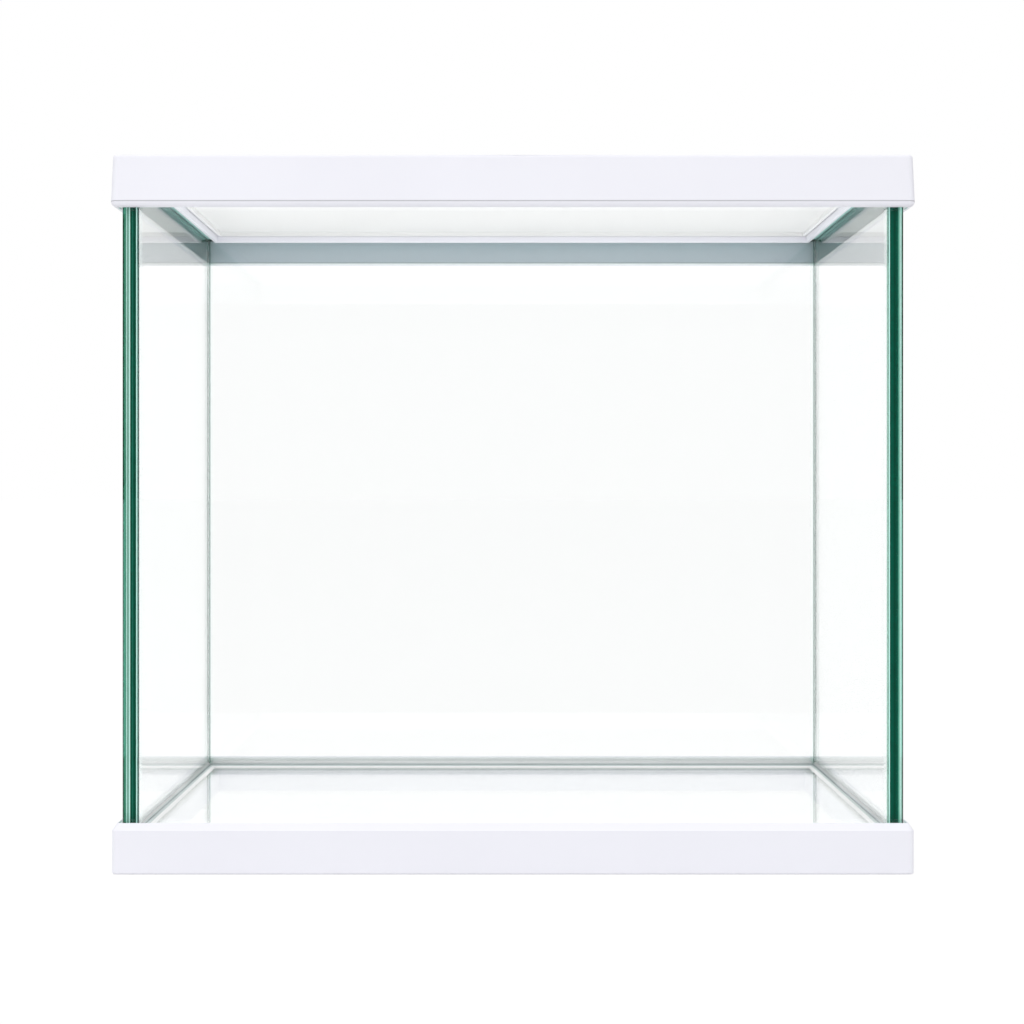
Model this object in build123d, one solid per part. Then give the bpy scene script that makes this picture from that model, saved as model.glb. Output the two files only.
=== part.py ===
from build123d import *

import os

# Rectangular glass aquarium with a moulded bottom frame, a moulded top frame and a hinged lid.
# Millimetres. X is the width, Y the depth with the front at -Y, and Z is up.
# The origin is the middle of the footprint, on the surface that the aquarium stands on.

# Driving dimensions of the glass
glass_width = 300.0
glass_depth = 200.0
pane_thickness = 5.0
pane_arris = 0.5
overall_height = 275.5

# Silicone
bond_gap = 0.5
corner_fillet = 2.2
floor_fillet = 3.0
fillet_belly = 0.74
bed_thickness = 0.5
floor_bed_thickness = 0.3
floor_bed_width = 3.4

# Bottom frame
bottom_height = 19.4
bottom_overhang = 3.6
bottom_skirt_gap = 0.4
bottom_web = 4.0
bottom_step_height = 9.7
bottom_step_width = 5.2
bottom_step_gap = 0.4
bottom_bevel_width = 1.8
bottom_bevel_height = 2.7
bottom_corner_radius = 2.0
bottom_edge_radius = 0.8
bottom_lead_width = 0.9
bottom_rim_radius = 1.2
bottom_lead_height = 2.0
bottom_groove_width = 2.2
bottom_groove_depth = 7.5
bottom_bead_inset = 0.4

# Top frame
top_skirt_height = 20.0
top_overhang = 4.1
top_draft = 0.8
top_skirt_gap = 1.0
top_corner_radius = 2.4
top_lower_radius = 2.1
top_edge_radius = 1.1
top_wall = 2.2
top_lead_width = 0.5
top_lead_height = 1.3
top_web = 2.0
rebate_depth = 5.5
rebate_corner_radius = 1.0
lip_inset = 4.8
lip_thickness = 1.8
lip_drop = 2.5
lip_edge_radius = 0.5
top_bead_inset = 0.3

# Lid
lid_thickness = 3.0
lid_side_gap = 0.6
lid_seat_gap = 0.1
lid_corner_radius = 2.0
lid_edge_radius = 0.6
rib_gap = 0.5
rib_thickness = 1.5
rib_drop = 1.7
barrel_radius = 2.2
barrel_back_gap = 0.4
barrel_seat_gap = 0.2
finger_hole_radius = 12.0
finger_hole_inset = 20.0
collar_width = 1.6
collar_height = 0.9

# Hinge
pin_radius = 1.25
pin_clearance = 0.05
pin_in_lid = 9.0
pin_end_gap = 0.5
pin_end_chamfer = 0.25
clip_radius = 2.7
clip_length = 5.9
clip_mouth = 2.1
clip_side_gap = 0.6
notch_gap = 0.7

# Places worked out from the driving dimensions
half_w = glass_width / 2
half_d = glass_depth / 2
inner_w = half_w - pane_thickness
inner_d = half_d - pane_thickness

wall_bottom = bottom_web + bed_thickness
floor_bottom = bottom_step_height + floor_bed_thickness
floor_top = floor_bottom + pane_thickness

ledge_top = overall_height - rebate_depth
web_bottom = ledge_top - top_web
lip_bottom = web_bottom - lip_drop
wall_top = web_bottom - bed_thickness
skirt_bottom = overall_height - top_skirt_height

rebate_inset = top_overhang - top_draft - top_wall
rebate_w = half_w + rebate_inset
rebate_d = half_d + rebate_inset
lip_w = inner_w - lip_inset
lip_d = inner_d - lip_inset

lid_bottom = ledge_top + lid_seat_gap
lid_top = lid_bottom + lid_thickness
hinge_y = rebate_d - barrel_back_gap - barrel_radius
hinge_z = ledge_top + barrel_seat_gap + barrel_radius
clip_inner_x = rebate_w - clip_length
barrel_half = clip_inner_x - clip_side_gap


def slab(low, high):
    """A box between two corners."""
    size = [b - a for a, b in zip(low, high)]
    middle = [(a + b) / 2 for a, b in zip(low, high)]
    return Pos(*middle) * Box(*size)


def tray(w, d, z0, z1, radius=0.0):
    """An upright block on the origin, of half width w and half depth d."""
    plan = RectangleRounded(2 * w, 2 * d, radius) if radius > 0 else Rectangle(2 * w, 2 * d)
    return Pos(0, 0, z0) * extrude(plan, z1 - z0)


def ring(outer, inner, z0, z1):
    """A square-cornered frame between two half sizes."""
    return tray(*outer, z0, z1) - tray(*inner, z0, z1)


def lead_in(w, d, z_narrow, z_wide, growth):
    """A square-cornered block whose sides slope outwards by growth, from z_narrow to z_wide."""
    narrow = Pos(0, 0, z_narrow) * Rectangle(2 * w, 2 * d)
    wide = Pos(0, 0, z_wide) * Rectangle(2 * (w + growth), 2 * (d + growth))
    return loft([narrow, wide], ruled=True)


def stack(sections):
    """A solid through rounded rectangles, each given as half width, half depth, radius and height."""
    plans = [Pos(0, 0, z) * RectangleRounded(2 * w, 2 * d, r) for w, d, r, z in sections]
    solid = loft(plans[:2], ruled=True)
    for low, high in zip(plans[1:], plans[2:]):
        solid = solid + loft([low, high], ruled=True)
    return solid


def level_loops(solid):
    """The level edges of a solid, in groups from the lowest to the highest."""
    level = solid.edges().filter_by(lambda e: e.bounding_box().size.Z < 1e-6)
    return level.group_by(Axis.Z)


def pane(low, high):
    """A sheet of glass with every edge arrissed."""
    sheet = slab(low, high)
    return chamfer(sheet.edges(), pane_arris)


def hollow_arc(corner, along_a, along_b):
    """The hollow face of a bead in a corner, from a point along one wall to one along the other."""
    belly = [c + fillet_belly * (a + b - 2 * c) / 2 for c, a, b in zip(corner, along_a, along_b)]
    return ThreePointArc(along_a, tuple(belly), along_b)


def corner_seal(side, end):
    """Silicone in one upright corner: the bond behind a side pane's end, and the fillet inside."""
    bond = slab(
        (inner_w, inner_d - bond_gap, wall_bottom),
        (half_w, inner_d, wall_top),
    )
    on_side = (inner_w, inner_d - bond_gap - corner_fillet)
    on_end = (inner_w - corner_fillet, inner_d)
    outline = hollow_arc((inner_w, inner_d), on_side, on_end) + Polyline(
        on_end, (inner_w, inner_d), on_side
    )
    bead = Pos(0, 0, floor_top) * extrude(make_face(outline), wall_top - floor_top)
    seal = bond + bead
    if side == end:
        return seal if side > 0 else Rot(0, 0, 180) * seal
    return mirror(seal, Plane.YZ if side < 0 else Plane.XZ)


def floor_seal_section():
    """The silicone beside the floor pane: X from the wall inwards, Y up, from the wall's foot."""
    on_wall = (0.0, floor_top + floor_fillet)
    on_floor = (bond_gap + floor_fillet, floor_top)
    outline = hollow_arc((0.0, floor_top), on_wall, on_floor) + Polyline(
        on_floor,
        (bond_gap, floor_top),
        (bond_gap, floor_bottom),
        (0.0, floor_bottom),
        on_wall,
    )
    return make_face(outline)


def floor_seals(corner_seals):
    """Four runs of silicone round the floor pane, mitred in the corners."""
    section = floor_seal_section()
    back_plane = Plane(origin=(0, inner_d, 0), x_dir=(0, -1, 0), z_dir=(-1, 0, 0))
    right_plane = Plane(origin=(inner_w, 0, 0), x_dir=(-1, 0, 0), z_dir=(0, 1, 0))
    back = extrude(back_plane * section, inner_w, both=True)
    right = extrude(right_plane * section, inner_d, both=True)
    for side in (-1, 1):
        at_back = Plane(origin=(side * inner_w, inner_d, 0), z_dir=(side, -1, 0))
        back = split(back, at_back, keep=Keep.BOTTOM)
        at_side = Plane(origin=(inner_w, side * inner_d, 0), z_dir=(-1, side, 0))
        right = split(right, at_side, keep=Keep.BOTTOM)
    for seal in corner_seals:
        back = back - seal
        right = right - seal
    return {
        "back": back,
        "front": mirror(back, Plane.XZ),
        "right": right,
        "left": mirror(right, Plane.YZ),
    }


def bottom_frame():
    """Moulding under and round the foot of the glass, with a step that carries the floor pane."""
    w = half_w + bottom_overhang
    d = half_d + bottom_overhang
    body = stack(
        [
            (w, d, bottom_corner_radius, 0),
            (w, d, bottom_corner_radius, bottom_height - bottom_bevel_height),
            (
                w - bottom_bevel_width,
                d - bottom_bevel_width,
                bottom_rim_radius,
                bottom_height,
            ),
        ]
    )
    body = fillet(level_loops(body)[0], bottom_edge_radius)
    glass_w = half_w + bottom_skirt_gap
    glass_d = half_d + bottom_skirt_gap
    step_w = inner_w - bottom_step_gap
    step_d = inner_d - bottom_step_gap
    hole_w = step_w - bottom_step_width
    hole_d = step_d - bottom_step_width
    body = body - tray(glass_w, glass_d, bottom_step_height, bottom_height)
    lead_start = bottom_height - bottom_lead_height
    body = body - lead_in(glass_w, glass_d, lead_start, bottom_height, bottom_lead_width)
    body = body - ring((glass_w, glass_d), (step_w, step_d), bottom_web, bottom_step_height)
    body = body - tray(hole_w, hole_d, 0, bottom_step_height)
    groove_w = hole_w + (bottom_step_width - bottom_groove_width) / 2
    groove_d = hole_d + (bottom_step_width - bottom_groove_width) / 2
    groove = ring(
        (groove_w + bottom_groove_width, groove_d + bottom_groove_width),
        (groove_w, groove_d),
        0,
        bottom_groove_depth,
    )
    return body - groove


def gap_filler(skirt, z_deep, z_lead, z_rim, growth, inset):
    """Silicone between the walls' outer faces and a skirt, from deep in the gap to inside the rim."""
    body = tray(*skirt, *sorted((z_deep, z_lead))) + lead_in(*skirt, z_lead, z_rim, growth)
    z_end = z_rim - inset if z_rim > z_lead else z_rim + inset
    beyond = tray(skirt[0] + growth, skirt[1] + growth, *sorted((z_end, z_rim)))
    return body - beyond - tray(half_w, half_d, *sorted((z_deep, z_rim)))


def bottom_bead():
    """Bedding under the wall panes, and the silicone in the bottom frame's gap round them."""
    skirt = (half_w + bottom_skirt_gap, half_d + bottom_skirt_gap)
    bed = ring(skirt, (inner_w, inner_d), bottom_web, wall_bottom)
    lead_start = bottom_height - bottom_lead_height
    return bed + gap_filler(
        skirt, wall_bottom, lead_start, bottom_height, bottom_lead_width, bottom_bead_inset
    )


def floor_bed():
    """Bedding between the bottom frame's step and the floor pane."""
    middle_w = inner_w - bottom_step_gap - bottom_step_width / 2
    middle_d = inner_d - bottom_step_gap - bottom_step_width / 2
    half = floor_bed_width / 2
    return ring(
        (middle_w + half, middle_d + half),
        (middle_w - half, middle_d - half),
        bottom_step_height,
        floor_bottom,
    )


def hinge_clip():
    """The right snap clip: an upright eye with an open mouth, on the ledge and the side wall."""
    length = rebate_w - clip_inner_x
    along_x = Plane(origin=(clip_inner_x, hinge_y, hinge_z), x_dir=(0, 1, 0), z_dir=(1, 0, 0))
    eye = extrude(along_x * Circle(clip_radius), length + top_wall / 2)
    foot = slab(
        (clip_inner_x, hinge_y - clip_radius, ledge_top - top_web / 2),
        (rebate_w + top_wall / 2, rebate_d + top_wall / 2, hinge_z),
    )
    bore = extrude(along_x * Circle(pin_radius + pin_clearance), length)
    mouth = slab(
        (clip_inner_x, hinge_y - clip_mouth / 2, hinge_z),
        (rebate_w, hinge_y + clip_mouth / 2, hinge_z + clip_radius),
    )
    back_wall = slab(
        (clip_inner_x, rebate_d, hinge_z),
        (rebate_w + top_wall / 2, rebate_d + top_wall / 2, hinge_z + clip_radius),
    )
    return (eye - back_wall + foot) - bore - mouth


def top_frame():
    """Moulding over the glass: drafted skirt, inner lip, ledge for the lid and two hinge clips."""
    w = half_w + top_overhang
    d = half_d + top_overhang
    body = stack(
        [
            (w, d, top_corner_radius, skirt_bottom),
            (w - top_draft, d - top_draft, top_corner_radius, overall_height),
        ]
    )
    body = fillet(level_loops(body)[-1], top_edge_radius)
    body = fillet(level_loops(body)[0], top_lower_radius)
    glass_w = half_w + top_skirt_gap
    glass_d = half_d + top_skirt_gap
    channel = ring(
        (glass_w, glass_d),
        (lip_w + lip_thickness, lip_d + lip_thickness),
        skirt_bottom,
        web_bottom,
    )
    lead_end = skirt_bottom + top_lead_height
    lead = lead_in(glass_w, glass_d, lead_end, skirt_bottom, top_lead_width)
    below_lip = tray(
        lip_w + lip_thickness,
        lip_d + lip_thickness,
        skirt_bottom,
        lip_bottom,
    )
    mouth = tray(lip_w, lip_d, lip_bottom, ledge_top)
    rebate = tray(rebate_w, rebate_d, ledge_top, overall_height, rebate_corner_radius)
    body = body - channel - lead - below_lip - mouth - rebate
    lip_edges = [e for e in body.edges() if abs(e.center().Z - lip_bottom) < 1e-4]
    body = fillet(lip_edges, lip_edge_radius)
    clip = hinge_clip()
    return body + clip + mirror(clip, Plane.YZ)


def top_bead():
    """Bead over the wall panes' upper edges, out to the lip, and the silicone in the skirt's gap."""
    skirt = (half_w + top_skirt_gap, half_d + top_skirt_gap)
    at_lip = (lip_w + lip_thickness, lip_d + lip_thickness)
    bed = ring(skirt, at_lip, wall_top, web_bottom)
    lead_end = skirt_bottom + top_lead_height
    return bed + gap_filler(
        skirt, wall_top, lead_end, skirt_bottom, top_lead_width, top_bead_inset
    )


def lid_panel():
    """Flat lid with a locating rib below, a round barrel along its back edge and a finger hole."""
    w = rebate_w - lid_side_gap
    front = rebate_d - lid_side_gap
    plate = slab((-w, -front, lid_bottom), (w, hinge_y, lid_top))
    front_corners = plate.edges().filter_by(Axis.Z).group_by(Axis.Y)[0]
    plate = fillet(front_corners, lid_corner_radius)
    notch_y = hinge_y - clip_radius - notch_gap
    for side in (-1, 1):
        ends = sorted((side * barrel_half, side * (w + 1)))
        plate = plate - slab((ends[0], notch_y, lid_bottom), (ends[1], hinge_y, lid_top))
    rounded = plate.faces().sort_by(Axis.Z)[-1].edges()
    along_front = [e for e in rounded if e.center().Y < notch_y - lid_corner_radius]
    plate = fillet(along_front, lid_edge_radius)
    on_hinge = Plane(origin=(-barrel_half, hinge_y, hinge_z), x_dir=(0, 1, 0), z_dir=(1, 0, 0))
    barrel = extrude(on_hinge * Circle(barrel_radius), 2 * barrel_half)
    rib_w = lip_w - rib_gap
    rib_d = lip_d - rib_gap
    rib = ring(
        (rib_w, rib_d),
        (rib_w - rib_thickness, rib_d - rib_thickness),
        lid_bottom - rib_drop,
        lid_bottom,
    )
    hole_y = -lip_d + finger_hole_inset
    collar = Pos(0, hole_y, lid_top) * extrude(
        Circle(finger_hole_radius + collar_width), collar_height
    )
    hole = Pos(0, hole_y, lid_bottom) * extrude(
        Circle(finger_hole_radius), lid_thickness + collar_height
    )
    panel = plate + barrel + rib + collar - hole
    for side in (-1, 1):
        start = on_hinge.offset(barrel_half + side * barrel_half)
        socket = extrude(start * Circle(pin_radius), -side * pin_in_lid)
        panel = panel - socket
    return panel


def hinge_pin(side):
    """A steel pin, pressed into the lid's barrel and turning in the top frame's clip."""
    start = barrel_half - pin_in_lid
    length = rebate_w - pin_end_gap - start
    along_x = Plane(origin=(start, hinge_y, hinge_z), x_dir=(0, 1, 0), z_dir=(1, 0, 0))
    pin = extrude(along_x * Circle(pin_radius), length)
    pin = chamfer(pin.edges().filter_by(GeomType.CIRCLE), pin_end_chamfer)
    return pin if side > 0 else mirror(pin, Plane.YZ)


def panes():
    """The four walls and the floor. The front and back panes cover the side panes' ends."""
    side_d = inner_d - bond_gap
    floor_w = inner_w - bond_gap
    floor_d = inner_d - bond_gap
    return {
        "front_pane": pane((-half_w, -half_d, wall_bottom), (half_w, -inner_d, wall_top)),
        "back_pane": pane((-half_w, inner_d, wall_bottom), (half_w, half_d, wall_top)),
        "left_pane": pane((-half_w, -side_d, wall_bottom), (-inner_w, side_d, wall_top)),
        "right_pane": pane((inner_w, -side_d, wall_bottom), (half_w, side_d, wall_top)),
        "floor_pane": pane((-floor_w, -floor_d, floor_bottom), (floor_w, floor_d, floor_top)),
    }


def main():
    nodes = panes()
    corners = {
        f"corner_seal_{end_name}_{side_name}": corner_seal(side, end)
        for end_name, end in (("front", -1), ("back", 1))
        for side_name, side in (("left", -1), ("right", 1))
    }
    nodes.update(corners)
    for name, seal in floor_seals(list(corners.values())).items():
        nodes[f"floor_seal_{name}"] = seal
    nodes["bottom_frame"] = bottom_frame()
    nodes["bottom_bead"] = bottom_bead()
    nodes["floor_bed"] = floor_bed()
    nodes["top_frame"] = top_frame()
    nodes["top_bead"] = top_bead()
    nodes["lid_panel"] = lid_panel()
    nodes["hinge_pin_left"] = hinge_pin(-1)
    nodes["hinge_pin_right"] = hinge_pin(1)
    os.makedirs("parts", exist_ok=True)
    for name, solid in nodes.items():
        export_step(solid, f"parts/{name}.step")


main()
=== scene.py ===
"""Looks of a small glass aquarium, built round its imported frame.

Every length is in metres, in the frame's own axes: X along the width, Y towards the back, Z up.
"""

from __future__ import annotations

import logging
import math
from dataclasses import dataclass, field, replace
from enum import Enum

import bmesh
import bpy
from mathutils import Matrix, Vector

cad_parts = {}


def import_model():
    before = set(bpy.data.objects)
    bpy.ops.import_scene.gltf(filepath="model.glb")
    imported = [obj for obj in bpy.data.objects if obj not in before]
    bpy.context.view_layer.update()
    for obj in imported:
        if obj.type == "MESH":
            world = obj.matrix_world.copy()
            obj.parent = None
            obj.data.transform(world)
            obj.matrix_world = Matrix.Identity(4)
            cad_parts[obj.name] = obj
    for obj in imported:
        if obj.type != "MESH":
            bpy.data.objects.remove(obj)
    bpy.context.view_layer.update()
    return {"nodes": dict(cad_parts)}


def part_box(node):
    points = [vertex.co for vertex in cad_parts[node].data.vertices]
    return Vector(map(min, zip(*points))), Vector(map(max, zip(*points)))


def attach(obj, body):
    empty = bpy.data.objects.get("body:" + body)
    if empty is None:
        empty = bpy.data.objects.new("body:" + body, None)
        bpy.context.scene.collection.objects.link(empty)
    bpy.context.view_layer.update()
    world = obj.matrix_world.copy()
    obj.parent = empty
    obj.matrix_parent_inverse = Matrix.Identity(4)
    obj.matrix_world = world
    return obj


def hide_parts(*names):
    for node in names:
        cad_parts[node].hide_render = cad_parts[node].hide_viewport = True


LOG = logging.getLogger("aquarium")
MM = 0.001
Colour = tuple[float, float, float]
Stops = tuple[tuple[float, Colour], ...]
WHITE = (1.0, 1.0, 1.0, 1.0)
NOISE_RANGE = (0.3, 0.7)


class Thin(Enum):
    """The axis along which a glass pane is thin."""

    WIDTH = 0
    DEPTH = 1
    HEIGHT = 2


class Graph:
    """A material under construction, with short calls for its nodes and links."""

    def __init__(self, name: str) -> None:
        """Starts an empty node tree.

        Args:
            name: The material's name.
        """
        self.material = bpy.data.materials.new(name)
        self.material.use_nodes = True
        self.tree = self.material.node_tree
        self.tree.nodes.clear()
        self.output = self.add("ShaderNodeOutputMaterial")

    def add(self, kind: str, **settings: object) -> bpy.types.Node:
        """Adds a node.

        Args:
            kind: The node's Blender type name.
            settings: Properties of the node, and values of inputs, whose names have _ for a space.

        Returns:
            The new node.
        """
        node = self.tree.nodes.new(kind)
        for key, value in settings.items():
            if hasattr(node, key):
                setattr(node, key, value)
            else:
                node.inputs[key.replace("_", " ")].default_value = value
        return node

    def link(self, source: bpy.types.NodeSocket, target: bpy.types.NodeSocket) -> None:
        """Joins an output to an input."""
        self.tree.links.new(source, target)

    def noise(self, scale: float, detail: float = 2.0) -> bpy.types.NodeSocket:
        """Noise on Object coordinates.

        Args:
            scale: Cells per metre.
            detail: How many finer layers it has.

        Returns:
            The noise, from 0 to 1.
        """
        coordinates = self.add("ShaderNodeTexCoord")
        texture = self.add("ShaderNodeTexNoise", Scale=scale, Detail=detail)
        self.link(coordinates.outputs["Object"], texture.inputs["Vector"])
        return texture.outputs["Fac"]

    def spread(self, source: bpy.types.NodeSocket, low: float, high: float) -> bpy.types.NodeSocket:
        """Maps a noise value from its usual middle range to another range.

        Args:
            source: The noise.
            low: What the lower end becomes.
            high: What the upper end becomes.

        Returns:
            The mapped value.
        """
        start, end = NOISE_RANGE
        mapped = self.add("ShaderNodeMapRange", From_Min=start, From_Max=end, To_Min=low, To_Max=high)
        self.link(source, mapped.inputs["Value"])
        return mapped.outputs["Result"]

    def mix_colour(self, factor: bpy.types.NodeSocket, first: Colour, second: Colour) -> bpy.types.NodeSocket:
        """Mixes two colours.

        Args:
            factor: The share of the second colour.
            first: The colour at 0.
            second: The colour at 1.

        Returns:
            The mixed colour.
        """
        mix = self.add("ShaderNodeMix", data_type="RGBA")
        self.link(factor, mix.inputs[0])
        mix.inputs[6].default_value = (*first, 1.0)
        mix.inputs[7].default_value = (*second, 1.0)
        return mix.outputs[2]

    def ramp(self, factor: bpy.types.NodeSocket, reach: float, bands: Stops) -> bpy.types.NodeSocket:
        """Colours in bands along a distance.

        Args:
            factor: The distance, in metres.
            reach: The distance at which the ramp ends, in metres.
            bands: Where each band starts, in millimetres, and its colour.

        Returns:
            The colour.
        """
        share = self.add("ShaderNodeMath", operation="DIVIDE")
        self.link(factor, share.inputs[0])
        share.inputs[1].default_value = reach
        ramp = self.add("ShaderNodeValToRGB")
        stops = ramp.color_ramp
        stops.interpolation = "LINEAR"
        for index, (start, colour) in enumerate(bands):
            place = start * MM / reach
            stop = stops.elements[0] if index == 0 else stops.elements.new(place)
            stop.position = place
            stop.color = (*colour, 1.0)
        stops.elements.remove(stops.elements[len(bands)])
        self.link(share.outputs[0], ramp.inputs[0])
        return ramp.outputs["Color"]

    def distance(self, axis: Thin, start: float) -> bpy.types.NodeSocket:
        """Distance from two planes that mirror each other about the origin.

        Args:
            axis: The axis that the planes stand across.
            start: How far the planes are from the origin, in metres.

        Returns:
            The distance from the nearer plane, in metres.
        """
        coordinates = self.add("ShaderNodeTexCoord")
        split = self.add("ShaderNodeSeparateXYZ")
        self.link(coordinates.outputs["Object"], split.inputs[0])
        size = self.add("ShaderNodeMath", operation="ABSOLUTE")
        self.link(split.outputs[axis.value], size.inputs[0])
        rest = self.add("ShaderNodeMath", operation="SUBTRACT")
        rest.inputs[1].default_value = start
        self.link(size.outputs[0], rest.inputs[0])
        away = self.add("ShaderNodeMath", operation="ABSOLUTE")
        self.link(rest.outputs[0], away.inputs[0])
        return away.outputs[0]

    def bump(
        self,
        height: bpy.types.NodeSocket,
        depth: float,
        strength: float,
        over: bpy.types.NodeSocket | None = None,
    ) -> bpy.types.NodeSocket:
        """A bump of a real depth.

        Args:
            height: The relief, from 0 to 1.
            depth: The full depth of the relief, in metres.
            strength: The share of it that shows.
            over: The normal that it is laid over, or none.

        Returns:
            The bent normal.
        """
        node = self.add("ShaderNodeBump", Strength=strength, Distance=depth)
        self.link(height, node.inputs["Height"])
        if over:
            self.link(over, node.inputs["Normal"])
        return node.outputs["Normal"]


@dataclass(frozen=True)
class FloatGlass:
    """Clear float glass whose cut and polished edges look green, with painted light and shade on the arrises:
    the outer arris painted near black as a dark line, the inner arris painted pale as a bright line.
    """

    thin: Thin
    ior: float = 1.52
    absorption: Colour = (1.6, 0.5, 0.8)
    edge_tint: Colour = (0.1, 0.64, 0.5)
    outer_arris_painted_shade: Colour = (0.001, 0.012, 0.005)
    inner_arris_painted_highlight: Colour = (0.55, 0.9, 0.78)
    arris_share: float = 0.4
    face_share: float = 0.9
    outward: float = 0.1
    arris_slope: float = math.sqrt(0.5)
    slope_play: float = 0.1
    density_margin: float = 1.25

    def material(self) -> bpy.types.Material:
        """Builds the glass.

        Returns:
            The material.
        """
        graph = Graph(f"float_glass_{self.thin.name.lower()}")
        shader = graph.add(
            "ShaderNodeBsdfPrincipled", Transmission_Weight=1.0, IOR=self.ior, Roughness=0.0
        )
        coordinates = graph.add("ShaderNodeTexCoord")
        split = graph.add("ShaderNodeSeparateXYZ")
        graph.link(coordinates.outputs["Normal"], split.inputs[0])
        across = graph.add("ShaderNodeMath", operation="ABSOLUTE")
        graph.link(split.outputs[self.thin.value], across.inputs[0])
        ramp = graph.add("ShaderNodeValToRGB")
        stops = ramp.color_ramp
        stops.interpolation = "CONSTANT"
        stops.elements[0].color = (*self.edge_tint, 1.0)
        stops.elements[1].position = self.face_share
        stops.elements[1].color = WHITE
        # Painted shade: the outer arris gets a near black colour, for a dark line along the edge.
        arris = stops.elements.new(self.arris_share)
        arris.color = (*self.outer_arris_painted_shade, 1.0)
        graph.link(across.outputs[0], ramp.inputs[0])
        reach = graph.add("ShaderNodeVectorMath", operation="DOT_PRODUCT")
        graph.link(coordinates.outputs["Normal"], reach.inputs[0])
        graph.link(coordinates.outputs["Object"], reach.inputs[1])
        inward = graph.add("ShaderNodeMath", operation="LESS_THAN")
        inward.inputs[1].default_value = self.outward
        graph.link(reach.outputs["Value"], inward.inputs[0])
        slanted = graph.add("ShaderNodeMath", operation="COMPARE")
        slanted.inputs[1].default_value = self.arris_slope
        slanted.inputs[2].default_value = self.slope_play
        graph.link(across.outputs[0], slanted.inputs[0])
        # Painted highlight: the inner arris gets a pale colour, for a bright line along the edge.
        inner_arris = graph.add("ShaderNodeMath", operation="MULTIPLY")
        graph.link(inward.outputs[0], inner_arris.inputs[0])
        graph.link(slanted.outputs[0], inner_arris.inputs[1])
        mix = graph.add("ShaderNodeMix", data_type="RGBA")
        graph.link(inner_arris.outputs[0], mix.inputs[0])
        graph.link(ramp.outputs["Color"], mix.inputs[6])
        mix.inputs[7].default_value = (*self.inner_arris_painted_highlight, 1.0)
        graph.link(mix.outputs[2], shader.inputs["Base Color"])
        graph.link(shader.outputs[0], graph.output.inputs["Surface"])
        density = max(self.absorption) * self.density_margin
        colour = [1.0 - a / density for a in self.absorption]
        volume = graph.add("ShaderNodeVolumeAbsorption", Density=density, Color=(*colour, 1.0))
        graph.link(volume.outputs[0], graph.output.inputs["Volume"])
        return graph.material


# Band colours. PALE and BRIGHT are near the silicone's own pale colour; the others are painted light and
# shade: MINT painted bright green lines, MIDDLE, DARK, DARKEST, LINE and FINE_LINE painted shade and dark
# lines, and the light green one painted green light from a glass edge.
PALE = (0.98, 1.0, 0.995)
BRIGHT = (1.0, 1.0, 1.0)
MINT = (0.68, 1.0, 0.93)
MIDDLE = (0.19, 0.41, 0.33)
DARK = (0.0, 0.09, 0.055)
DARKEST = (0.0, 0.05, 0.025)
LINE = (0.004, 0.018, 0.015)
FINE_LINE = (0.25, 0.33, 0.31)
PAINTED_GREEN_LIGHT = (0.55, 0.95, 0.9)


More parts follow.
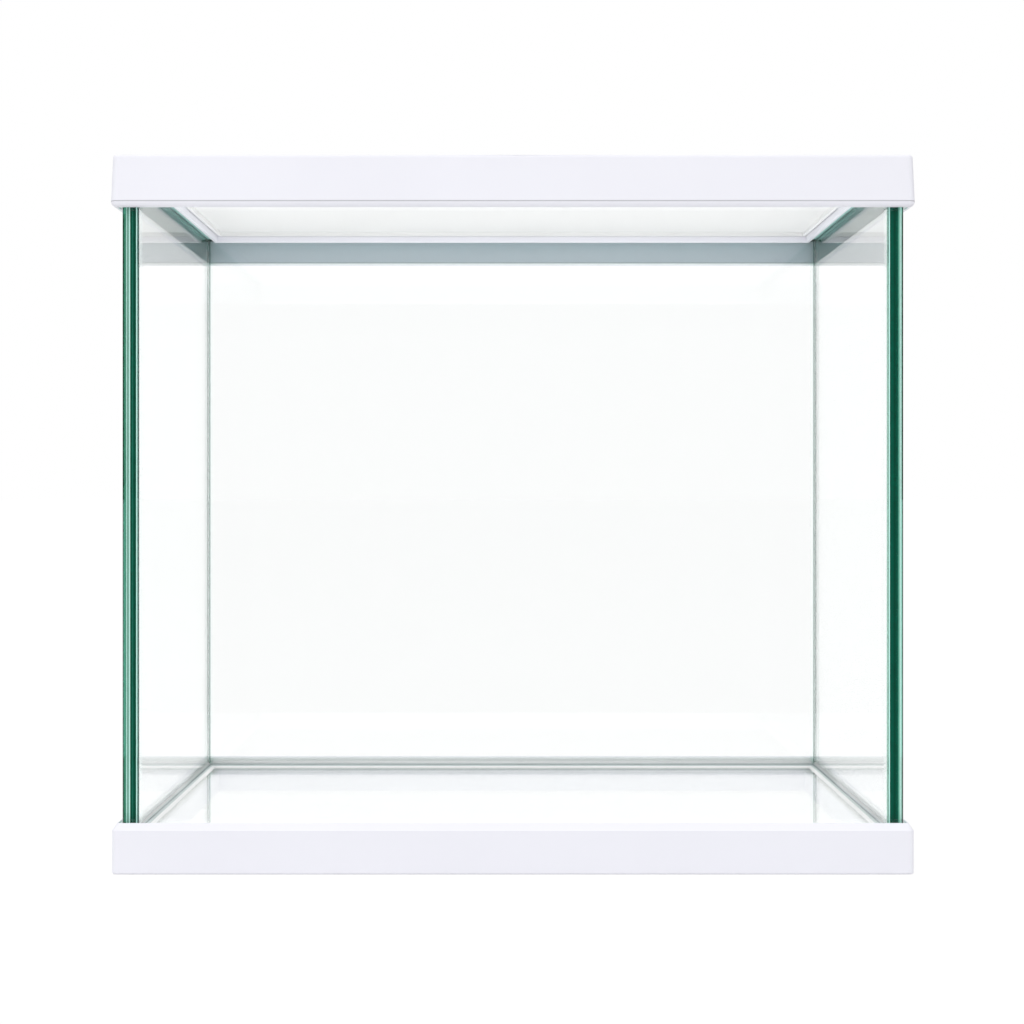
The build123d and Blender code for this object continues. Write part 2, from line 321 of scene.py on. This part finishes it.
class Bands(Enum):
    """Painted light and shade across a joint: bright and dark lines, shaded bands and green light from the
    glass edges, each band with its start in millimetres from a face of it.
    """

    LEFT = (
        (0.0, (0.1, 0.33, 0.23)),
        (0.8, (0.1, 0.33, 0.23)),
        (0.9, MINT),
        (1.08, MINT),
        (1.18, MIDDLE),
        (1.88, MIDDLE),
        (1.98, MINT),
        (2.28, MINT),
        (2.36, (0.12, 0.4, 0.3)),
        (2.54, DARKEST),
        (2.85, DARKEST),
        (2.95, (0.01, 0.13, 0.085)),
        (3.6, (0.01, 0.13, 0.085)),
        (3.7, DARKEST),
        (4.1, DARKEST),
        (4.2, DARK),
        (4.66, DARK),
        (4.74, MINT),
        (4.98, MINT),
        (5.04, (0.4, 0.64, 0.55)),
        (5.24, (0.4, 0.64, 0.55)),
        (5.3, LINE),
        (5.66, LINE),
        (5.72, PALE),
    )
    RIGHT = (
        (0.0, (0.3, 0.5, 0.4)),
        (0.2, (0.85, 1.0, 0.97)),
        (0.65, (0.85, 1.0, 0.97)),
        (0.75, (0.35, 0.7, 0.56)),
        (1.1, (0.16, 0.5, 0.38)),
        (1.55, DARK),
        (2.2, DARK),
        (2.6, DARKEST),
        (3.4, DARK),
        (4.54, DARK),
        (4.62, MINT),
        (4.94, MINT),
        (5.0, (0.18, 0.42, 0.33)),
        (5.3, (0.42, 0.62, 0.54)),
        (5.44, (0.42, 0.62, 0.54)),
        (5.5, PALE),
    )
    BACK = (
        (0.0, (0.3, 0.6, 0.5)),
        (4.8, (0.3, 0.6, 0.5)),
        (4.9, PALE),
        (5.24, PALE),
        (5.3, FINE_LINE),
        (5.6, FINE_LINE),
        (5.68, PALE),
    )
    TOP = (
        (0.0, (0.95, 1.0, 1.0)),
        (0.6, (0.95, 1.0, 1.0)),
        (0.7, (0.35, 0.41, 0.43)),
        (1.1, (0.35, 0.41, 0.43)),
        (1.25, (0.49, 0.56, 0.61)),
        (10.8, (0.53, 0.6, 0.65)),
        (10.9, (0.37, 0.42, 0.44)),
        (11.6, (0.37, 0.42, 0.44)),
        (11.75, PAINTED_GREEN_LIGHT),
    )
    TOP_SIDE = (
        (0.0, BRIGHT),
        (0.5, BRIGHT),
        (0.6, (0.03, 0.08, 0.07)),
        (1.0, (0.03, 0.08, 0.07)),
        (1.2, (0.11, 0.19, 0.17)),
        (11.6, (0.11, 0.19, 0.17)),
        (11.75, PAINTED_GREEN_LIGHT),
    )
    FLOOR_FILLET = (
        (0.0, BRIGHT),
        (0.6, BRIGHT),
        (0.7, (0.62, 0.69, 0.69)),
        (1.1, (0.62, 0.69, 0.69)),
        (1.15, (0.46, 0.51, 0.52)),
        (1.55, (0.46, 0.51, 0.52)),
        (1.65, (0.9, 0.95, 0.96)),
        (2.05, (0.9, 0.95, 0.96)),
        (2.1, BRIGHT),
        (2.5, BRIGHT),
        (2.6, (0.85, 0.87, 0.88)),
        (2.95, (0.85, 0.87, 0.88)),
        (3.0, BRIGHT),
    )
    FLOOR = (
        (0.0, (0.7, 0.8, 0.8)),
        (0.3, (0.7, 0.8, 0.8)),
        (0.4, BRIGHT),
        (0.75, BRIGHT),
        (0.85, (0.78, 0.87, 0.87)),
        (1.95, (0.78, 0.87, 0.87)),
        (2.05, (0.62, 0.7, 0.7)),
        (2.35, (0.62, 0.7, 0.7)),
        (2.45, PALE),
        (3.3, PALE),
        (3.45, (0.65, 0.7, 0.72)),
        (3.75, (0.65, 0.7, 0.72)),
        (3.85, BRIGHT),
        (4.3, BRIGHT),
        (4.4, (0.8, 0.84, 0.85)),
        (5.2, (0.85, 0.88, 0.89)),
    )


@dataclass(frozen=True)
class ClearSilicone:
    """Cured clear silicone, a little milky and uneven; with bands, its colour carries painted light and shade
    across the joint.
    """

    name: str = "clear_silicone"
    colour: Colour = PALE
    bands: Bands | None = None
    across: Thin = Thin.WIDTH
    start: float = 150 * MM
    reach: float = 8 * MM
    clarity: float = 0.97
    ior: float = 1.08
    roughness: float = 0.08
    unevenness: float = 220.0
    ripple: float = 0.15 * MM

    def material(self) -> bpy.types.Material:
        """Builds the silicone.

        Returns:
            The material.
        """
        graph = Graph(self.name)
        shader = graph.add(
            "ShaderNodeBsdfPrincipled",
            Base_Color=(*self.colour, 1.0),
            Transmission_Weight=self.clarity,
            IOR=self.ior,
        )
        # Painted light and shade: the bands replace the silicone's own colour with bright and dark lines
        # across the joint.
        if self.bands:
            depth = graph.distance(self.across, self.start)
            graph.link(graph.ramp(depth, self.reach, self.bands.value), shader.inputs["Base Color"])
        uneven = graph.noise(self.unevenness)
        low, high = self.roughness * 0.5, self.roughness * 1.5
        graph.link(graph.spread(uneven, low, high), shader.inputs["Roughness"])
        graph.link(graph.bump(uneven, self.ripple, 0.4), shader.inputs["Normal"])
        graph.link(shader.outputs[0], graph.output.inputs["Surface"])
        return graph.material


@dataclass(frozen=True)
class MouldedPlastic:
    """Opaque moulded plastic with a fine grain, and where a crease is given, a groove with painted shade."""

    name: str
    colour: Colour
    roughness: float
    grain_depth: float
    gloss: float = 0.5
    grain_scale: float = 2600.0
    cloud_scale: float = 14.0
    shade: float = 0.02
    roughness_play: float = 0.04
    crease: float | None = None
    crease_half: float = 0.28 * MM
    crease_shade: float = 0.45

    def material(self) -> bpy.types.Material:
        """Builds the plastic.

        Returns:
            The material.
        """
        graph = Graph(self.name)
        shader = graph.add("ShaderNodeBsdfPrincipled", IOR=1.5, Specular_IOR_Level=self.gloss)
        darker = tuple(c * (1.0 - self.shade) for c in self.colour)
        cloud = graph.spread(graph.noise(self.cloud_scale, 3.0), 0.0, 1.0)
        colour = graph.mix_colour(cloud, darker, self.colour)
        grain = graph.noise(self.grain_scale, 1.0)
        low, high = self.roughness - self.roughness_play, self.roughness + self.roughness_play
        graph.link(graph.spread(grain, low, high), shader.inputs["Roughness"])
        normal = graph.bump(grain, self.grain_depth, 0.5)
        # Partly a real groove, made by the bump, and partly painted shade: the colour in the groove darkens
        # to crease_shade of the plastic.
        if self.crease:
            depth = graph.add("ShaderNodeMapRange", From_Max=self.crease_half, To_Min=1.0, To_Max=0.0)
            graph.link(graph.distance(Thin.HEIGHT, self.crease), depth.inputs["Value"])
            groove = depth.outputs["Result"]
            shadow = graph.add("ShaderNodeMix", data_type="RGBA")
            graph.link(groove, shadow.inputs[0])
            graph.link(colour, shadow.inputs[6])
            in_crease = tuple(c * self.crease_shade for c in self.colour)
            shadow.inputs[7].default_value = (*in_crease, 1.0)
            colour = shadow.outputs[2]
            normal = graph.bump(groove, -self.crease_half, 0.5, normal)
        graph.link(colour, shader.inputs["Base Color"])
        graph.link(normal, shader.inputs["Normal"])
        graph.link(shader.outputs[0], graph.output.inputs["Surface"])
        return graph.material


@dataclass(frozen=True)
class PinSteel:
    """Bright drawn stainless steel, with faint lines along the pin."""

    colour: Colour = (0.62, 0.62, 0.64)
    roughness: float = 0.24
    line_scale: float = 1800.0
    line_shade: float = 0.9
    line_roughness: float = 0.1

    def material(self) -> bpy.types.Material:
        """Builds the steel.

        Returns:
            The material.
        """
        graph = Graph("pin_steel")
        shader = graph.add("ShaderNodeBsdfPrincipled", Metallic=1.0)
        drawn = graph.noise(self.line_scale, 1.0)
        darker = tuple(c * self.line_shade for c in self.colour)
        graph.link(graph.mix_colour(drawn, darker, self.colour), shader.inputs["Base Color"])
        rough = graph.spread(drawn, self.roughness, self.roughness + self.line_roughness)
        graph.link(rough, shader.inputs["Roughness"])
        graph.link(shader.outputs[0], graph.output.inputs["Surface"])
        return graph.material


def dress(node: bpy.types.Object, materials: list[bpy.types.Material]) -> None:
    """Gives a piece its materials, one slot each.

    Args:
        node: The piece.
        materials: Its materials, in the order of its faces' places.
    """
    slots = node.data.materials
    for place, material in enumerate(materials):
        if place < len(slots):
            slots[place] = material
        else:
            slots.append(material)


@dataclass
class GlassBox:
    """The five bonded panes."""

    nodes: dict[str, bpy.types.Object]
    panes: dict[str, Thin] = field(
        default_factory=lambda: {
            "front_pane": Thin.DEPTH,
            "back_pane": Thin.DEPTH,
            "left_pane": Thin.WIDTH,
            "right_pane": Thin.WIDTH,
            "floor_pane": Thin.HEIGHT,
        }
    )

    def build(self) -> None:
        """Dresses each pane in glass that knows which of its faces are cut edges."""
        glass = {thin: FloatGlass(thin).material() for thin in Thin}
        for name, thin in self.panes.items():
            dress(self.nodes[name], [glass[thin]])
            LOG.info("%s dressed as float glass", name)


@dataclass
class SiliconeWork:
    """Every run of silicone, kept a hair clear of what it is bonded to so that light crosses cleanly."""

    nodes: dict[str, bpy.types.Object]
    shrink: float = 0.03 * MM
    weld: float = 0.001 * MM
    inner_face: float = 145 * MM
    floor_top: float = 15 * MM
    sharpest: float = 2.5
    top_bed: float = 255.8 * MM
    top_reach: float = 13 * MM
    floor_reach: float = 5.5 * MM

    def runs(self) -> list[str]:
        """The names of the silicone nodes."""
        return [n for n in self.nodes if "seal" in n or n.endswith(("_bead", "_bed"))]

    def copy_of(self, name: str) -> bpy.types.Object:
        """Makes a closed copy of a run, drawn in all over by a hair.

        Args:
            name: The run's node.

        Returns:
            The new object.
        """
        mesh = self.nodes[name].data.copy()
        work = bmesh.new()
        work.from_mesh(mesh)
        bmesh.ops.remove_doubles(work, verts=work.verts, dist=self.weld)
        bmesh.ops.recalc_face_normals(work, faces=work.faces)
        bmesh.ops.dissolve_limit(
            work, angle_limit=math.radians(0.5), verts=work.verts, edges=work.edges
        )
        work.normal_update()
        moves = {v: v.normal * min(v.calc_shell_factor(), self.sharpest) * self.shrink for v in work.verts}
        for vertex, move in moves.items():
            vertex.co -= move
        self.part_finishes(work, name)
        bmesh.ops.triangulate(work, faces=work.faces)
        work.to_mesh(mesh)
        work.free()
        piece = bpy.data.objects.new(f"{name}_silicone", mesh)
        bpy.context.scene.collection.objects.link(piece)
        return piece

    def cut(self, work: bmesh.types.BMesh, place: Vector, normal: Vector) -> None:
        """Cuts every face of a run along a plane.

        Args:
            work: The run's mesh.
            place: A point on the plane.
            normal: The plane's direction.
        """
        geometry = [*work.verts, *work.edges, *work.faces]
        bmesh.ops.bisect_plane(work, geom=geometry, plane_co=place, plane_no=normal)

    def part_finishes(self, work: bmesh.types.BMesh, name: str) -> None:
        """Gives the faces of a run their places in its list of finishes.

        Args:
            work: The run's mesh, which is cut where one finish meets the next.
            name: The name of the node that the run replaces.
        """
        if name.startswith("corner"):
            for side in (-1, 1):
                self.cut(work, Vector((side * self.inner_face, 0.0, 0.0)), Vector((1.0, 0.0, 0.0)))
            for face in work.faces:
                face.material_index = int(abs(face.calc_center_median().x) < self.inner_face)
        elif name.startswith("floor_seal"):
            top = self.floor_top
            self.cut(work, Vector((0.0, 0.0, top)), Vector((0.0, 0.0, 1.0)))
            for face in work.faces:
                face.material_index = int(face.calc_center_median().z > top)
        elif name == "top_bead":
            for face in work.faces:
                face.material_index = int(abs(face.normal.x) > 0.9)

    def build(self) -> None:
        """Replaces each run with its dressed copy."""
        opaque = 0.0
        # Finishes with bands carry painted light and shade across the joint; the opaque bonds show it as flat
        # colour.
        finishes = {
            "corner_seal_front_left": (
                ClearSilicone("bond_left", bands=Bands.LEFT, clarity=opaque),
                ClearSilicone("fillet_left", bands=Bands.LEFT),
            ),
            "corner_seal_front_right": (
                ClearSilicone("bond_right", bands=Bands.RIGHT, clarity=opaque),
                ClearSilicone("fillet_right", bands=Bands.RIGHT),
            ),
            "corner_seal_back": (
                ClearSilicone("bond_back", bands=Bands.BACK, clarity=opaque),
                ClearSilicone("fillet_back", bands=Bands.BACK),
            ),
            "floor_seal": (
                ClearSilicone(
                    "floor_bond",
                    bands=Bands.FLOOR,
                    across=Thin.HEIGHT,
                    start=self.floor_top,
                    reach=self.floor_reach,
                    clarity=opaque,
                ),
                ClearSilicone(
                    "floor_fillet",
                    bands=Bands.FLOOR_FILLET,
                    across=Thin.HEIGHT,
                    start=self.floor_top,
                    reach=self.floor_reach,
                    clarity=0.1,
                ),
            ),
            "floor_bed": (ClearSilicone("floor_bedding", clarity=opaque),),
            "bottom_bead": (ClearSilicone("bottom_bedding", (0.95, 0.98, 0.98), clarity=opaque),),
            "top_bead": (
                *(
                    ClearSilicone(
                        f"top_bedding_{bands.name.lower()}",
                        bands=bands,
                        across=Thin.HEIGHT,
                        start=self.top_bed,
                        reach=self.top_reach,
                        clarity=opaque,
                    )
                    for bands in (Bands.TOP, Bands.TOP_SIDE)
                ),
            ),
        }
        materials = {start: [f.material() for f in kinds] for start, kinds in finishes.items()}
        for name in self.runs():
            piece = self.copy_of(name)
            kinds = next(m for start, m in materials.items() if name.startswith(start))
            dress(piece, kinds)
            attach(piece, "tank")
            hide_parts(name)
            LOG.info("%s made for %s", piece.name, name)


@dataclass
class Mouldings:
    """The bottom frame, the top frame and the lid panel."""

    nodes: dict[str, bpy.types.Object]
    frame_finish: MouldedPlastic = MouldedPlastic(
        "frame_plastic", (0.905, 0.905, 0.97), 0.34, 0.01 * MM, gloss=0.35
    )
    lid_finish: MouldedPlastic = MouldedPlastic("lid_plastic", (0.9, 0.9, 0.9), 0.55, 0.03 * MM)
    top_crease: float = 257.65 * MM

    def build(self) -> None:
        """Dresses the mouldings in their two plastics."""
        # The top frame's plastic has a groove at top_crease with painted shade in it.
        creased = replace(self.frame_finish, name="top_frame_plastic", crease=self.top_crease)
        for name, finish in (("bottom_frame", self.frame_finish), ("top_frame", creased)):
            dress(self.nodes[name], [finish.material()])
            LOG.info("%s dressed in frame plastic", name)
        dress(self.nodes["lid_panel"], [self.lid_finish.material()])
        LOG.info("lid_panel dressed in lid plastic")


@dataclass
class HingePins:
    """The two steel pins of the lid's hinge."""

    nodes: dict[str, bpy.types.Object]

    def build(self) -> None:
        """Dresses the pins in steel."""
        steel = PinSteel().material()
        for name in ("hinge_pin_left", "hinge_pin_right"):
            dress(self.nodes[name], [steel])
            LOG.info("%s dressed in steel", name)


@dataclass(frozen=True)
class Lamp:
    """A square soft lamp."""

    name: str
    place: Colour
    aim: Colour
    power: float
    mirrored: bool
    size: float = 1.6

    def build(self) -> None:
        """Adds the lamp, turned towards its aim, with or without its reflections."""
        data = bpy.data.lights.new(self.name, "AREA")
        data.size = self.size
        data.energy = self.power
        lamp = bpy.data.objects.new(self.name, data)
        lamp.location = self.place
        lamp.visible_glossy = self.mirrored
        lamp.visible_transmission = self.mirrored
        towards = Vector(self.aim) - Vector(self.place)
        lamp.rotation_euler = towards.to_track_quat("-Z", "Y").to_euler()
        bpy.context.scene.collection.objects.link(lamp)


@dataclass
class Studio:
    """Camera, floor, lamps and surroundings."""

    photo_side: int = 1024
    vanish_px: tuple[float, float] = (507.5, 495.0)
    glass_left_px: float = 122.4
    glass_right_px: float = 903.4
    base_line_px: float = 874.7
    distance: float = 0.783
    sensor: float = 36.0
    fill: float = 0.95
    beside: float = 0.2
    room: float = 0.06
    behind_glass: float = 1.15
    inside: float = 1.1
    lamps_inside: float = 0.09
    table_inside: float = 0.45
    shadow_share: float = 0.145
    glass_gain: float = 0.13
    gloss_ends: float = -0.24
    gloss_full: float = -0.11
    room_ends: float = 0.35
    white_starts: float = 0.85
    floor_half: float = 60.0
    floor_grey: float = 0.67
    shadow_grey: float = 0.17
    most_bounces: int = 32
    gloss_bounces: int = 16
    lamps: tuple[Lamp, ...] = (
        Lamp("overhead", (0.0, -0.2, 1.6), (0.0, 0.0, 0.1), 2.0, True),
        Lamp("front", (-0.7, -2.6, 0.5), (0.0, 0.0, 0.15), 19.0, False),
    )

    def camera(self) -> None:
        """A level camera at the photograph's viewing angle and framing."""
        low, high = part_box("front_pane")
        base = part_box("bottom_frame")[0]
        per_px = (high.x - low.x) / (self.glass_right_px - self.glass_left_px)
        at_base = (self.distance + base.y - low.y) / self.distance * per_px
        data = bpy.data.cameras.new("camera")
        data.sensor_width = self.sensor
        data.lens = self.sensor * self.distance / per_px / self.photo_side
        half = self.photo_side / 2
        data.shift_x = (half - self.vanish_px[0]) / self.photo_side
        data.shift_y = (self.vanish_px[1] - half) / self.photo_side
        camera = bpy.data.objects.new("camera", data)
        middle_px = (self.glass_left_px + self.glass_right_px) / 2
        camera.location = (
            (low.x + high.x) / 2 - (middle_px - self.vanish_px[0]) * per_px,
            low.y - self.distance,
            base.z + (self.base_line_px - self.vanish_px[1]) * at_base,
        )
        camera.rotation_euler = (math.pi / 2, 0.0, 0.0)
        bpy.context.scene.collection.objects.link(camera)
        bpy.context.scene.camera = camera

    def world(self) -> None:
        """White surroundings: a little dimmer as a light, and in a gloss or through glass dim beside
        and before the object, but full for light that reaches a surface inside the tank."""
        world = bpy.data.worlds.new("studio")
        bpy.context.scene.world = world
        world.use_nodes = True
        tree = world.node_tree
        tree.nodes.clear()
        out = tree.nodes.new("ShaderNodeOutputWorld")
        path = tree.nodes.new("ShaderNodeLightPath")
        gloss = self.even(tree, 1.0)
        coordinates = tree.nodes.new("ShaderNodeTexCoord")
        split = tree.nodes.new("ShaderNodeSeparateXYZ")
        tree.links.new(coordinates.outputs["Generated"], split.inputs[0])
        most = tree.nodes.new("ShaderNodeMath")
        most.operation = "MAXIMUM"
        tree.links.new(split.outputs["Y"], most.inputs[0])
        tree.links.new(split.outputs["Z"], most.inputs[1])
        shade = tree.nodes.new("ShaderNodeMapRange")
        shade.interpolation_type = "SMOOTHSTEP"
        limits = {
            "From Min": self.room_ends,
            "From Max": self.white_starts,
            "To Min": self.room,
            "To Max": 1.0,
        }
        for key, value in limits.items():
            shade.inputs[key].default_value = value
        tree.links.new(most.outputs[0], shade.inputs["Value"])
        tree.links.new(shade.outputs["Result"], gloss.inputs["Strength"])
        seen = self.even(tree, self.fill)
        sideways = tree.nodes.new("ShaderNodeMath")
        sideways.operation = "MULTIPLY"
        tree.links.new(split.outputs["X"], sideways.inputs[0])
        tree.links.new(split.outputs["X"], sideways.inputs[1])
        dimmer = tree.nodes.new("ShaderNodeMath")
        dimmer.operation = "MULTIPLY_ADD"
        dimmer.inputs[1].default_value = -self.fill * self.beside
        dimmer.inputs[2].default_value = self.fill
        tree.links.new(sideways.outputs[0], dimmer.inputs[0])
        tree.links.new(dimmer.outputs[0], seen.inputs["Strength"])
        through = self.even(tree, 1.0)
        lit = tree.nodes.new("ShaderNodeMath")
        lit.operation = "MINIMUM"
        lit.inputs[1].default_value = 1.0
        tree.links.new(path.outputs["Diffuse Depth"], lit.inputs[0])
        inside = tree.nodes.new("ShaderNodeMix")
        inside.inputs[3].default_value = self.inside
        tree.links.new(lit.outputs[0], inside.inputs[0])
        behind = tree.nodes.new("ShaderNodeMath")
        behind.operation = "MULTIPLY"
        behind.inputs[1].default_value = self.behind_glass
        tree.links.new(self.where_reflected(tree, path, shade.outputs["Result"]), behind.inputs[0])
        tree.links.new(behind.outputs[0], inside.inputs[2])
        tree.links.new(inside.outputs[0], through.inputs["Strength"])
        for name, shader in (
            ("Is Glossy Ray", gloss),
            ("Is Transmission Ray", through),
            ("Is Camera Ray", self.even(tree, 1.0)),
        ):
            seen = self.choose(tree, path.outputs[name], seen, shader)
        tree.links.new(seen, out.inputs[0])

    def even(self, tree: bpy.types.NodeTree, strength: float) -> bpy.types.Node:
        """Adds a plain white background of one strength.

        Args:
            tree: The node tree to add to.
            strength: How bright it is.

        Returns:
            Its node.
        """
        node = tree.nodes.new("ShaderNodeBackground")
        node.inputs["Color"].default_value = WHITE
        node.inputs["Strength"].default_value = strength
        return node

    def where_reflected(
        self, tree: bpy.types.NodeTree, path: bpy.types.Node, level: bpy.types.NodeSocket
    ) -> bpy.types.NodeSocket:
        """A level for what a gloss or glass has reflected, and 1 for what is seen straight through.

        Args:
            tree: The node tree to add to.
            path: Its Light Path node.
            level: The level for what is reflected.

        Returns:
            The mixed level.
        """
        reflected = tree.nodes.new("ShaderNodeMath")
        reflected.operation = "MINIMUM"
        reflected.inputs[1].default_value = 1.0
        tree.links.new(path.outputs["Glossy Depth"], reflected.inputs[0])
        mixed = tree.nodes.new("ShaderNodeMix")
        mixed.inputs[2].default_value = 1.0
        tree.links.new(reflected.outputs[0], mixed.inputs[0])
        tree.links.new(level, mixed.inputs[3])
        return mixed.outputs[0]

    def level_inside(
        self, tree: bpy.types.NodeTree, path: bpy.types.Node, level: float, lamps: float, depth: str
    ) -> bpy.types.NodeSocket:
        """How brightly the floor glows, with the lamps' share where it lights a surface through
        glass, since lamps themselves don't light through glass.

        Args:
            tree: The node tree to add to.
            path: Its Light Path node.
            level: The brightness that is seen directly.
            lamps: What the lamps add for light that reaches a surface.
            depth: The count of the light path that tells such light.

        Returns:
            The strength.
        """
        lights = tree.nodes.new("ShaderNodeMath")
        lights.operation = "MINIMUM"
        lights.inputs[1].default_value = 1.0
        tree.links.new(path.outputs[depth], lights.inputs[0])
        total = tree.nodes.new("ShaderNodeMath")
        total.operation = "MULTIPLY_ADD"
        total.inputs[1].default_value = lamps
        total.inputs[2].default_value = level
        tree.links.new(lights.outputs[0], total.inputs[0])
        return total.outputs[0]

    def choose(
        self,
        tree: bpy.types.NodeTree,
        factor: bpy.types.NodeSocket,
        first: bpy.types.Node | bpy.types.NodeSocket,
        second: bpy.types.Node | bpy.types.NodeSocket,
    ) -> bpy.types.NodeSocket:
        """Mixes two shaders.

        Args:
            tree: The node tree to add to.
            factor: The share of the second shader.
            first: The shader at 0.
            second: The shader at 1.

        Returns:
            The mixed shader.
        """
        mix = tree.nodes.new("ShaderNodeMixShader")
        tree.links.new(factor, mix.inputs[0])
        for place, shader in ((1, first), (2, second)):
            socket = shader if isinstance(shader, bpy.types.NodeSocket) else shader.outputs[0]
            tree.links.new(socket, mix.inputs[place])
        return mix.outputs[0]

    def gloss_reach(self, graph: Graph) -> bpy.types.NodeSocket:
        """How far the floor shows in a gloss, which is not before the tank, where the room is dim.

        Args:
            graph: The floor's material.

        Returns:
            A share that is 1 beside and behind the tank.
        """
        coordinates = graph.add("ShaderNodeTexCoord")
        split = graph.add("ShaderNodeSeparateXYZ")
        graph.link(coordinates.outputs["Object"], split.inputs[0])
        reach = graph.add("ShaderNodeMapRange", interpolation_type="SMOOTHSTEP")
        reach.inputs["From Min"].default_value = self.gloss_ends
        reach.inputs["From Max"].default_value = self.gloss_full
        graph.link(split.outputs["Y"], reach.inputs["Value"])
        return reach.outputs["Result"]

    def floor(self) -> None:
        """A plain pale floor that keeps the object's shadow and shows white elsewhere."""
        work = bmesh.new()
        bmesh.ops.create_grid(work, x_segments=1, y_segments=1, size=self.floor_half)
        mesh = bpy.data.meshes.new("floor")
        work.to_mesh(mesh)
        work.free()
        floor = bpy.data.objects.new("floor", mesh)
        bpy.context.scene.collection.objects.link(floor)
        graph = Graph("floor_white")
        tree = graph.tree
        path = graph.add("ShaderNodeLightPath")
        plain = graph.add("ShaderNodeBsdfDiffuse", Color=(*[self.floor_grey] * 3, 1.0))
        below = graph.add("ShaderNodeEmission")
        lit = self.level_inside(tree, path, 0.0, self.table_inside, "Transmission Depth")
        graph.link(lit, below.inputs["Strength"])
        shader = graph.add("ShaderNodeAddShader")
        graph.link(plain.outputs[0], shader.inputs[0])
        graph.link(below.outputs[0], shader.inputs[1])
        soft = graph.add("ShaderNodeBsdfDiffuse", Color=(*[self.shadow_grey] * 3, 1.0))
        dim = graph.add("ShaderNodeEmission", Strength=self.room)
        for name, gain in (
            ("Is Glossy Ray", 0.0),
            ("Is Transmission Ray", self.glass_gain),
            ("Is Camera Ray", 0.0),
        ):
            share = 1.0 - self.shadow_share + gain
            glow = graph.add("ShaderNodeEmission")
            level = self.level_inside(tree, path, share, self.lamps_inside, "Diffuse Depth")
            graph.link(level, glow.inputs["Strength"])
            both = graph.add("ShaderNodeAddShader")
            graph.link(soft.outputs[0], both.inputs[0])
            graph.link(glow.outputs[0], both.inputs[1])
            if name != "Is Camera Ray":
                reach = self.where_reflected(tree, path, self.gloss_reach(graph))
                both = self.choose(tree, reach, dim, both)
            shader = self.choose(tree, path.outputs[name], shader, both)
        graph.link(shader, graph.output.inputs["Surface"])
        floor.data.materials.append(graph.material)

    def build(self) -> None:
        """Sets up the whole studio and the picture's plain colours."""
        self.camera()
        self.world()
        self.floor()
        for lamp in self.lamps:
            lamp.build()
        scene = bpy.context.scene
        scene.view_settings.view_transform = "Standard"
        scene.cycles.blur_glossy = 0.0
        scene.cycles.max_bounces = self.most_bounces
        scene.cycles.transmission_bounces = self.most_bounces
        scene.cycles.glossy_bounces = self.gloss_bounces
        scene.cycles.transparent_max_bounces = self.gloss_bounces
        LOG.info("studio ready")


def main() -> None:
    """Builds every sub-assembly round the frame, in order."""
    logging.basicConfig(level=logging.INFO, format="%(name)s: %(message)s")
    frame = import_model()
    nodes = frame["nodes"]
    GlassBox(nodes).build()
    SiliconeWork(nodes).build()
    Mouldings(nodes).build()
    HingePins(nodes).build()
    Studio().build()


if __name__ == "__main__":
    main()
